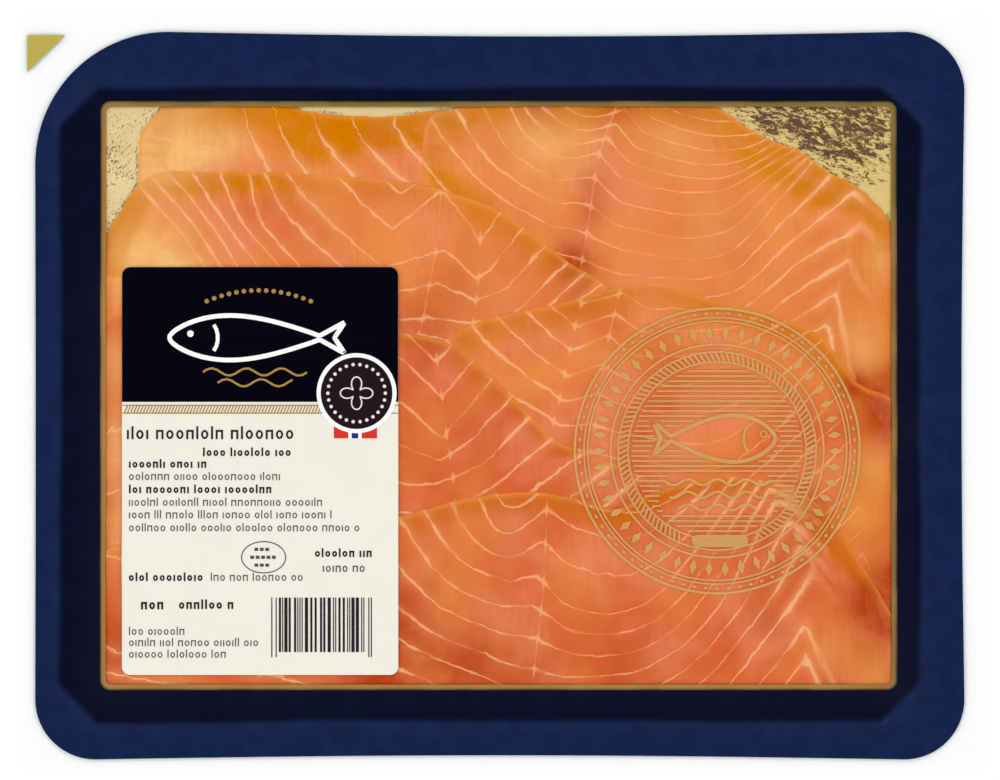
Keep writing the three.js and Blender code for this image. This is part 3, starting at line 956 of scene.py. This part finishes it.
# %% The navy frame
def make_navy():
    """Navy ink, with painted light where the film hangs free over the white table, and painted shade
    where it lies on the board.
    """
    navy = Finish("navy print", Roughness=0.45, Specular_IOR_Level=0.05)
    here = navy.place()
    cloud = navy.noise(here, 22, 3, 0.55)
    over = navy.plus(navy.field("board_shade"), navy.scaled(cloud, 0.3, -0.15))
    # Painted light and shade: lighter navy where table light shows through the film, darker where the
    # board lies behind
    colour = navy.mix(navy.ramp(over, 0.1, 0.9), linear(16, 32, 70), linear(5, 9, 33))
    mottle = navy.ramp(navy.noise(here, 5, 4, 0.65), 0.3, 0.7, 0.84, 1.14)
    navy.colour(navy.shaded(colour, mottle))
    navy.bump(navy.noise(here, 3.5, 3, 0.6), 0.15, 0.12)
    return navy.material


SIDE, CORNER = 110, 26                  # points along a side and round a corner
NAVY_RADII = (14.5, 32, 14.5, 14.5)     # the far left corner makes way for the peel corner
NAVY_BOW = (0.7, 1.1, 0.1, 1.0)         # the pull of the vacuum bends the sides in
frame_outer = rounded_loop(NAVY, NAVY_RADII, NAVY_BOW, SIDE, CORNER) + NAVY_CENTRE
window_outer = rounded_loop(WINDOW, (WINDOW_RADIUS,) * 4, (0, 0, 0, 0), SIDE, CORNER) + LINE_CENTRE
glass = (WINDOW[0] - 2 * GOLD_LINE, WINDOW[1] - 2 * GOLD_LINE)
window_inner = rounded_loop(glass, (WINDOW_RADIUS - 0.9,) * 4, (0, 0, 0, 0), SIDE, CORNER)
window_inner = window_inner + LINE_CENTRE
window_middle = (window_outer + window_inner) / 2

navy_sheet, x, y, _ = ring(frame_outer, window_middle, 22, over_film, PRINT_LIFT)
on_board = cut_depth(x - BOARD_CENTRE[0], y - BOARD_CENTRE[1], BOARD, BOARD_CUT)
on_board = on_board + 1.2 * waves(x, y, 60, 12)
# The field stored here marks the painted shade on the navy where the board lies behind the film
navy_frame = put_mesh("navy_frame", [navy_sheet], make_navy(),
                      fields={"board_shade": smooth(on_board, -1.8, 1.4)})


# %% The gold line round the window, and the peel corner
def make_gold_line():
    """Gold ink in three tones across the line: dark at its outer edge as a painted shadow, then plain,
    then warm at its thin inner edge, where flesh shows through and a painted highlight lies. Slow
    noise brightens it in patches."""
    gold = Finish("gold line", Metallic=0.1, Roughness=0.5, Specular_IOR_Level=0.2)
    across = gold.field("across")
    patch = gold.noise(gold.place(), 14, 2)
    plain = gold.mix(gold.field("warm"), linear(118, 96, 42), linear(154, 114, 54))
    # The dark outer edge of the line is painted shadow
    colour = gold.mix(gold.ramp(across, 0.0, 0.5), linear(58, 46, 20), plain)
    # The inner edge is flesh showing through, and a painted highlight
    flesh_and_highlight_share = gold.scaled(gold.field("warm"), 0.55, 0.25)
    inner = gold.times(gold.ramp(across, 0.55, 0.95), flesh_and_highlight_share)
    colour = gold.mix(inner, colour, linear(176, 112, 50))
    gold.colour(gold.mix(gold.ramp(patch, 0.4, 0.65, 0, 0.18), colour, linear(186, 150, 84)))
    gold.bump(patch, 0.1, 0.05)
    return gold.material


line_sheet, x, y, across = ring(window_outer, window_inner, 7, over_film, LINE_LIFT)
towards_reader = (CENTRE[0] - x) / WINDOW[0] + (CENTRE[1] - y) / WINDOW[1]
gold_line = put_mesh("gold_line", [line_sheet], make_gold_line(), fields={
    "across": across, "warm": smooth(towards_reader, -0.1, 0.1)})

PEEL = [(-114.9, 85.9), (-105.7, 85.9), (-114.9, 77.0)]
peel_edges = [np.linspace(PEEL[k], PEEL[(k + 1) % 3], 14, endpoint=False) for k in range(3)]
peel_sheet = fill(np.vstack(peel_edges), over_film, PRINT_LIFT, rows=6)
print_piece("peel_corner", [peel_sheet], ink("gold ink", 184, 166, 82))

# %% [markdown]
# ## The gold stamp
# A round seal is printed over the slices in thin, half clear gold. It is a plain one here: ring
# lines, a band of lozenges, a rope ring, a leaping fish on a hatched ground, and a small plate.

# %% The stamp's lines
STAMP = CENTRE + [52.4, -13.1]


def on_ring(radius, angle):
    return STAMP + radius * np.stack([np.cos(angle), np.sin(angle)], -1)


def stamp_rings():
    lines = [(34.2, 0.6), (32.0, 0.4), (31.1, 0.4), (25.6, 0.5), (23.8, 0.45), (21.4, 0.45)]
    return [film_line(circle(STAMP, radius, 220), width, True) for radius, width in lines]


def stamp_beads():
    """Lozenges between the two outer lines, and in the wide band, four points each."""
    turns = np.arange(4) * math.pi / 2
    marks = []
    for radius, count, length, width in ((33.05, 76, 0.75, 0.5), (28.4, 46, 1.1, 2.0)):
        for angle in np.arange(count) * 2 * math.pi / count:
            outward = np.array([math.cos(angle), math.sin(angle)])
            sideways = np.array([-outward[1], outward[0]])
            centre = STAMP + radius * outward
            corners = [centre + outward * width * math.cos(t) * 0.9
                       + sideways * length * math.sin(t) * 0.8 for t in turns]
            marks.append(fill(corners, over_film, PRINT_LIFT, 1))
    return marks


def stamp_rope():
    """Short slanting strokes between the two rope lines."""
    angles = np.linspace(-0.36 * math.pi, 1.36 * math.pi, 100)
    return [film_line([on_ring(21.5, a), on_ring(23.7, a + 0.045)], 0.5) for a in angles]


def fish_outline(length, height, count=60):
    """A fish: body half height is the height times the sine of the share of the length to the
    power 0.8, then the tail opens as a fork."""
    share = np.linspace(0, 1, count)
    body = height / 2 * np.sin(np.pi * share ** 0.8) ** 0.9 * (1 - 0.15 * share)
    x = (share - 0.5) * length
    upper = np.stack([x, body + 0.04 * height], -1)
    lower = np.stack([x, -body - 0.04 * height], -1)
    reach = length / 2
    tail = np.array([(reach + 0.17 * length, 0.36 * height), (reach + 0.1 * length, 0.0),
                     (reach + 0.17 * length, -0.36 * height)])
    return np.vstack([upper, tail, lower[::-1]])


def hatch(radius, gap, keep_out):
    """Level lines across a disc, left out where they would cross the fish or the plate."""
    lines = []
    for y in np.arange(-radius + gap, radius, gap):
        half = math.sqrt(radius ** 2 - y ** 2)
        x = np.linspace(-half, half, int(half * 4) + 2)
        free = np.ones_like(x, bool)
        for shape, clear in keep_out:
            free &= depth_in(shape, x, np.full_like(x, y)) < -clear
        edges = np.flatnonzero(np.diff(np.concatenate([[0], free.astype(int), [0]])))
        for start, stop in zip(edges[::2], edges[1::2]):
            if x[stop - 1] - x[start] > 1.0:
                ends = [STAMP + [x[start], y], STAMP + [x[stop - 1], y]]
                lines.append(film_line(ends, 0.42))
    return lines


def stamp_picture():
    """The fish, with a gill and an eye, three waves under it, and the plate."""
    fish = fish_outline(25, 11) * [-1, 1] + [1.5, 3.0]
    plate = rounded_loop((13.5, 3.0), (1.4,) * 4, side=8, corner=6) + [0.7, -21.6]
    gill_turn = np.linspace(-0.9, 0.9, 14)
    gill = np.stack([9.0 - 2.6 * np.cos(gill_turn), 3.0 + 4.0 * np.sin(gill_turn)], -1)
    shapes = [film_line(fish + STAMP, 0.95, True, 0.7), film_line(gill + STAMP, 0.6),
              film_line(circle(STAMP + [11.2, 4.1], 0.75, 20), 0.4, True, 0.4),
              fill(plate + STAMP, over_film, PRINT_LIFT, 2)]
    sway = np.linspace(-1, 1, 60)
    for drop, half in ((-7.5, 13), (-10.5, 11.5), (-13.5, 9.5)):
        wave = np.stack([sway * half, drop + 0.8 * np.cos(sway * half * 0.9)], -1)
        shapes.append(film_line(wave + STAMP, 0.6))
    sea = rounded_loop((27, 9.5), (3,) * 4) + [0, -10.5]
    return shapes + hatch(20.4, 1.2, [(fish, 0.9), (sea, 0.0)])


def make_stamp_gold():
    """Half clear gold ink: the light passes between its flakes."""
    gold = Finish("stamp gold", Roughness=0.5, Specular_IOR_Level=0.05, Alpha=0.5)
    flakes = gold.noise(gold.place(), 1.2, 3, 0.6)
    gold.colour(gold.mix(flakes, linear(234, 186, 116), linear(222, 172, 100)))
    gold.bump(flakes, 0.1, 0.04)
    return gold.material


stamp_sheets = stamp_rings() + stamp_beads() + stamp_rope() + stamp_picture()
print_piece("gold_stamp", stamp_sheets, make_stamp_gold())

# %% [markdown]
# ## The paper label
# The label is stuck on the film, so it follows the relief, but paper is stiffer: it bridges more.
# The same draping with a wider blur gives it. Its print is made as the film's print is.

# %% Label sheet
LABEL_SIZE = label_high[:2] - label_low[:2]
LABEL_MIDDLE = (label_high[:2] + label_low[:2]) / 2
LABEL_CORNER = np.array([label_low[0], label_high[1]])      # its far left corner
LABEL_RADIUS = 2.0
PAPER, PAPER_GAP = 0.14, 0.04       # its thickness, and how far it is from the film
FIELD_LIFT, HEAD_LIFT, TYPE_LIFT = 0.025, 0.05, 0.02    # from the paper to the prints on it
paper_bed = drape(film_top, 3.0, 4) + PAPER_GAP


def over_paper(x, y):
    return sample(paper_bed, x, y) + PAPER


def paper_line(path, width, lift=TYPE_LIFT, closed=False, spacing=1.2):
    """A line of ink on the label."""
    return stroke(path, width, over_paper, lift, closed, spacing)


def from_corner(right, down):
    """A place on the label, measured from its far left corner as one reads."""
    return LABEL_CORNER + [right, -down]


def make_paper():
    """Cream paper: fine fibres as two noises, one stretched, in colour and in bump."""
    paper = Finish("label paper", Roughness=0.62, Specular_IOR_Level=0.15)
    fibre = paper.noise(paper.place((1, 0.3, 1), 0.5), 0.5, 4, 0.65)
    cloud = paper.noise(paper.place(), 9, 3)
    tone = paper.scaled(fibre, 0.5, paper.times(cloud, 0.5))
    paper.colour(paper.mix(tone, linear(236, 232, 220), linear(228, 224, 211)))
    paper.bump(fibre, 0.25, 0.05)
    return paper.material


label_loop = rounded_loop(LABEL_SIZE, (LABEL_RADIUS,) * 4, side=60, corner=10) + LABEL_MIDDLE
share = np.linspace(0, 1, 50)[:, None]
paper_x = LABEL_MIDDLE[0] + (label_loop[:, 0] - LABEL_MIDDLE[0]) * share
paper_y = LABEL_MIDDLE[1] + (label_loop[:, 1] - LABEL_MIDDLE[1]) * share
paper_base = sample(paper_bed, paper_x, paper_y)
paper_sheet = sheet_arrays(paper_x, paper_y, paper_base + PAPER, paper_base, wrap=True, pole=True)
label_paper = put_mesh("label_paper", [paper_sheet], make_paper(), merge=True)
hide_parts("label")

# %% [markdown]
# ## Print on the label
# The head of the label is a navy field with a plain fish on it, then a thin gold rope. Below are
# rows of type, shown as rings and stems as a layout artist sketches them, a barcode of bars
# whose widths are thrown with a fixed seed, an oval stamp and a round badge.

# %% Fields of the label's head
HEAD = 32.4                         # height of the navy field
ROPE_TOP, ROPE_FOOT = 33.2, 35.1    # its two lines, from the label's far edge

head_radii = (LABEL_RADIUS, LABEL_RADIUS, 0.05, 0.05)
head_loop = rounded_loop((LABEL_SIZE[0], HEAD), head_radii, side=56, corner=8)
head_loop = head_loop * 0.9995 + from_corner(LABEL_SIZE[0] / 2, HEAD / 2)
print_piece("label_head", [fill(head_loop, over_paper, FIELD_LIFT, 24)], ink("head navy", 1, 1, 14))

white_ink = ink("white ink", 250, 249, 244)
dark_ink = ink("text ink", 38, 35, 42)
grey_ink = ink("fine text ink", 78, 74, 80)
gold_ink = ink("label gold", 168, 132, 66)


def head_fish():
    """White fish, 42 mm long, in a thick line, with a gill and an eye."""
    centre = from_corner(32.0, 17.0)
    turn = np.linspace(-0.9, 0.9, 16)
    gill = np.stack([-11.5 + 2.6 * np.cos(turn), 4.0 * np.sin(turn)], -1)
    body = fish_outline(36, 10.5) + [-2.5, 0]
    return [paper_line(body + centre, 1.1, HEAD_LIFT, True, 0.7),
            paper_line(gill + centre, 0.9, HEAD_LIFT),
            fill(circle(centre + [-15.5, 1.0], 0.8, 20), over_paper, HEAD_LIFT, 1)]


def head_gold():
    """An arc of gold dots over the fish, and two waves under it."""
    dots = []
    for share in np.linspace(-1, 1, 15):
        place = from_corner(32.9 + 12.5 * share, 5.6 + 2.6 * share ** 2)
        dots.append(fill(circle(place, 0.55, 14), over_paper, HEAD_LIFT, 1))
    sway = np.linspace(0, 1, 70)
    for drop, start, end in ((25.2, 19.5, 44.5), (27.8, 23.0, 41.0)):
        x = start + (end - start) * sway
        wave = np.stack([x, drop - 0.9 * np.sin((x - start) * 0.75)], -1)
        dots.append(paper_line(LABEL_CORNER + wave * [1, -1], 0.5, HEAD_LIFT))
    return dots


def rope_strip():
    """Two thin lines, and slanting strokes between them."""
    edges = [paper_line([from_corner(0.1, d), from_corner(LABEL_SIZE[0] - 0.1, d)], 0.25)
             for d in (ROPE_TOP, ROPE_FOOT)]
    places = np.arange(0.6, LABEL_SIZE[0] - 1.4, 0.75)
    return edges + [paper_line([from_corner(p, ROPE_FOOT), from_corner(p + 0.8, ROPE_TOP)], 0.3)
                    for p in places]


print_piece("head_fish", head_fish(), white_ink)
print_piece("head_gold", head_gold() + rope_strip(), gold_ink)


# %% Rows of sketched type
# Each row: where it starts and ends, its middle height, the height of its marks, and the width
# of their strokes as a share of that height
TITLE_ROWS = [(1.2, 42.3, 39.8, 3.1, 0.16)]
BOLD_ROWS = [(19.5, 40.9, 44.4, 2.1, 0.2), (1.7, 20.4, 47.2, 2.1, 0.2), (1.7, 37.5, 53.3, 2.1, 0.2),
             (46.4, 60.3, 68.6, 2.1, 0.2), (4.6, 11.1, 81.0, 2.5, 0.2), (13.7, 27.4, 81.0, 2.3, 0.2),
             (1.7, 20.6, 74.4, 2.1, 0.2)]
FINE_ROWS = [(1.7, 40.1, 50.2, 2.0, 0.13), (1.7, 48.3, 56.4, 2.0, 0.13), (1.7, 51.9, 59.4, 2.0, 0.13),
             (1.7, 57.7, 62.5, 2.0, 0.13), (48.3, 59.4, 72.2, 2.1, 0.14), (21.4, 44.2, 74.4, 2.0, 0.13),
             (1.7, 15.4, 87.4, 2.0, 0.13), (1.7, 33.2, 90.1, 2.0, 0.13), (1.7, 25.5, 92.9, 2.0, 0.13)]


def type_mark(kind, left, wide, foot, height, pen):
    """One letter-sized mark of a sketched line of type: a small ring, a short or a tall stem, or a
    pair of stems under a bar."""
    low = 0.72 * height
    if kind == 0:
        middle = from_corner(left + wide / 2, foot - low / 2)
        turn = np.linspace(0, 2 * math.pi, 12, endpoint=False)
        path = middle + np.stack([np.cos(turn) * (wide - pen), np.sin(turn) * (low - pen)], -1) / 2
        return [paper_line(path, pen, TYPE_LIFT, True, 0.3)]
    tall = height if kind == 2 else low
    stems = [left + pen / 2] if kind < 3 else [left + pen / 2, left + wide - pen / 2]
    marks = [paper_line([from_corner(x, foot), from_corner(x, foot - tall)], pen) for x in stems]
    if kind == 3:
        ends = [from_corner(x, foot - low + pen / 2) for x in (left, left + wide)]
        marks.append(paper_line(ends, pen, TYPE_LIFT + 0.01))
    return marks


def type_row(row, dice):
    """Words of 3 to 9 marks: rings half of the time, and stems otherwise."""
    start, end, middle, height, weight = row
    pen, foot = weight * height, middle + height / 2
    marks, place, left = [], start, int(dice.integers(3, 9))
    while place < end - 0.6 * height:
        kind = int(dice.choice([0, 1, 2, 3], p=[0.5, 0.15, 0.15, 0.2]))
        wide = height * (0.58 if kind in (0, 3) else weight)
        marks += type_mark(kind, place, wide, foot, height, pen)
        left -= 1
        place += wide + height * (0.2 if left else 0.6)
        if not left:
            left = int(dice.integers(3, 10))
    return marks


def type_rows(rows, seed):
    dice = np.random.default_rng(seed)
    return [mark for row in rows for mark in type_row(row, dice)]


print_piece("title_type", type_rows(TITLE_ROWS + BOLD_ROWS, 21), dark_ink)
print_piece("fine_type", type_rows(FINE_ROWS, 22), grey_ink)


# %% Barcode, oval stamp, badge and ribbon
def barcode():
    """Bars one to three modules wide with gaps of one to three, and longer guards at both ends."""
    dice = np.random.default_rng(31)
    module, place, end = 0.26, 35.9, 60.4
    bars = []
    while place < end - 2:
        wide = module * dice.choice([1, 1, 2, 3], p=[0.4, 0.15, 0.3, 0.15])
        bars.append((place, wide, 92.5))
        place += wide + module * dice.choice([1, 2, 3], p=[0.5, 0.35, 0.15])
    bars += [(end - 1.2, module, 93.7), (end - 0.6, module, 93.7)]
    bars[0], bars[1] = (bars[0][0], module, 93.7), (bars[1][0], module, 93.7)
    return [paper_line([from_corner(x + w / 2, 79.4), from_corner(x + w / 2, foot)], w)
            for x, w, foot in bars]


def oval_stamp():
    """An ellipse, and three rows of short dashes in it."""
    centre = from_corner(34.1, 69.7)
    marks = [paper_line(circle(centre, 5.3, 72, 0.71), 0.25, TYPE_LIFT, True, 0.6)]
    for drop, half in ((1.9, 2.2), (0.0, 3.2), (-1.9, 2.2)):
        for start in np.arange(-half, half - 0.5, 1.3):
            ends = [centre + [start, drop], centre + [start + 0.9, drop]]
            marks.append(paper_line(ends, 0.75))
    return marks


BADGE = from_corner(56.4, 30.3)
BADGE_RING, BADGE_DISC = 9.6, 8.6       # radii of the white field and of the dark one on it
BADGE_LIFT = 0.1


def badge_marks():
    """A ring of dots, and a rosette of four loops in one line: r = 3.9 (1/4 + 3/4 |cos 2a|)."""
    dots = [fill(circle(p, 0.42, 12), over_paper, BADGE_LIFT + 0.05, 1)
            for p in circle(BADGE, 6.9, 26)]
    turn = np.linspace(0, 2 * math.pi, 260, endpoint=False)
    loops = 3.9 * (0.25 + 0.75 * np.abs(np.cos(2 * turn)))
    rosette = BADGE + np.stack([loops * np.cos(turn), loops * np.sin(turn)], -1)
    return dots + [paper_line(rosette, 0.32, BADGE_LIFT + 0.05, True, 0.35)]


print_piece("barcode", barcode(), dark_ink)
print_piece("oval_stamp", oval_stamp(), grey_ink)
print_piece("badge_ring", [fill(circle(BADGE, BADGE_RING), over_paper, BADGE_LIFT - 0.03, 8)],
            white_ink)
print_piece("badge_disc", [fill(circle(BADGE, BADGE_DISC), over_paper, BADGE_LIFT, 8)],
            ink("badge ink", 34, 20, 26))
print_piece("badge_marks", badge_marks(), ink("badge white", 232, 222, 214))

RIBBON = {"ribbon_red": [(50.9, 54.4), (57.6, 61.3)], "ribbon_white": [(54.4, 55.2), (56.8, 57.6)],
          "ribbon_blue": [(55.2, 56.8)]}
RIBBON_INKS = {"ribbon_red": ink("ribbon red", 214, 52, 40), "ribbon_white": white_ink,
               "ribbon_blue": ink("ribbon blue", 38, 48, 140)}
for name, bands in RIBBON.items():
    marks = [paper_line([from_corner(a, 39.8), from_corner(b, 39.8)], 2.7) for a, b in bands]
    print_piece(name, marks, RIBBON_INKS[name])

# %% [markdown]
# ## Floor, light and camera
# The pack lies on a white table and is seen from straight above. Film is a mirror for whatever
# hangs over it, so a lamp above would wash the navy out. The soft lamps stand low round the pack
# instead, and the sky is bright at the horizon and dark overhead.

# %% Floor and world
def make_floor():
    white = Finish("white table", Roughness=0.8, Specular_IOR_Level=0.1)
    cloud = white.noise(white.place(), 300, 2)
    white.colour(white.mix(cloud, (0.98, 0.98, 0.98, 1), (0.96, 0.96, 0.96, 1)))
    half, level = 3.0, -0.2 * MM        # just under the back film
    corners = [(-half, -half), (half, -half), (half, half), (-half, half)]
    mesh = bpy.data.meshes.new("floor")
    mesh.from_pydata([(*corner, level) for corner in corners], [], [(0, 1, 2, 3)])
    mesh.materials.append(white.material)
    floor = bpy.data.objects.new("floor", mesh)
    bpy.context.scene.collection.objects.link(floor)


def make_world():
    """Bright at the horizon, dark overhead, by the height of the direction looked in."""
    world = bpy.data.worlds.new("studio")
    world.use_nodes = True
    tree = world.node_tree
    where = tree.nodes.new("ShaderNodeTexCoord")
    split = tree.nodes.new("ShaderNodeSeparateXYZ")
    height = tree.nodes.new("ShaderNodeMapRange")
    tree.links.new(where.outputs["Generated"], split.inputs[0])
    tree.links.new(split.outputs["Z"], height.inputs["Value"])
    for socket, value in (("From Min", 0.05), ("From Max", 0.75), ("To Min", 0.85), ("To Max", 0.01)):
        height.inputs[socket].default_value = value
    tree.links.new(height.outputs[0], tree.nodes["Background"].inputs["Strength"])
    bpy.context.scene.world = world


make_floor()
make_world()
print("world:", bpy.context.scene.world.name)


# %% Lamps and camera
def soft_lamp(name, azimuth, elevation, power, size=2.0, distance=1.8):
    """A square soft lamp on a dome round the pack, turned to face it."""
    turn, rise = math.radians(azimuth), math.radians(elevation)
    lamp = bpy.data.lights.new(name, "AREA")
    lamp.energy = power
    lamp.size = size
    holder = bpy.data.objects.new(name, lamp)
    holder.location = (distance * math.cos(rise) * math.cos(turn),
                       distance * math.cos(rise) * math.sin(turn), distance * math.sin(rise))
    holder.rotation_euler = (math.pi / 2 - rise, 0, turn + math.pi / 2)
    bpy.context.scene.collection.objects.link(holder)


LAMP_POWER, LAMP_ELEVATION = 22.6, 33
for number, azimuth in enumerate((45, 135, 225, 315)):
    soft_lamp(f"lamp_{number}", azimuth, LAMP_ELEVATION, LAMP_POWER)

LENS, SENSOR = 120.0, 36.0
VIEW_WIDTH, VIEW_LEVEL = 240.3, 3.0     # what the view takes in, at this height over the table
VIEW_X, VIEW_Y = -0.96, 0.36            # the place under the camera
camera_data = bpy.data.cameras.new("camera")
camera_data.lens = LENS
camera_data.sensor_width = SENSOR
camera = bpy.data.objects.new("camera", camera_data)
height = VIEW_WIDTH * LENS / SENSOR + VIEW_LEVEL
camera.location = (VIEW_X * MM, VIEW_Y * MM, height * MM)
bpy.context.scene.collection.objects.link(camera)
bpy.context.scene.camera = camera
bpy.context.scene.view_settings.view_transform = "Standard"
print("camera height", round(height), "mm")
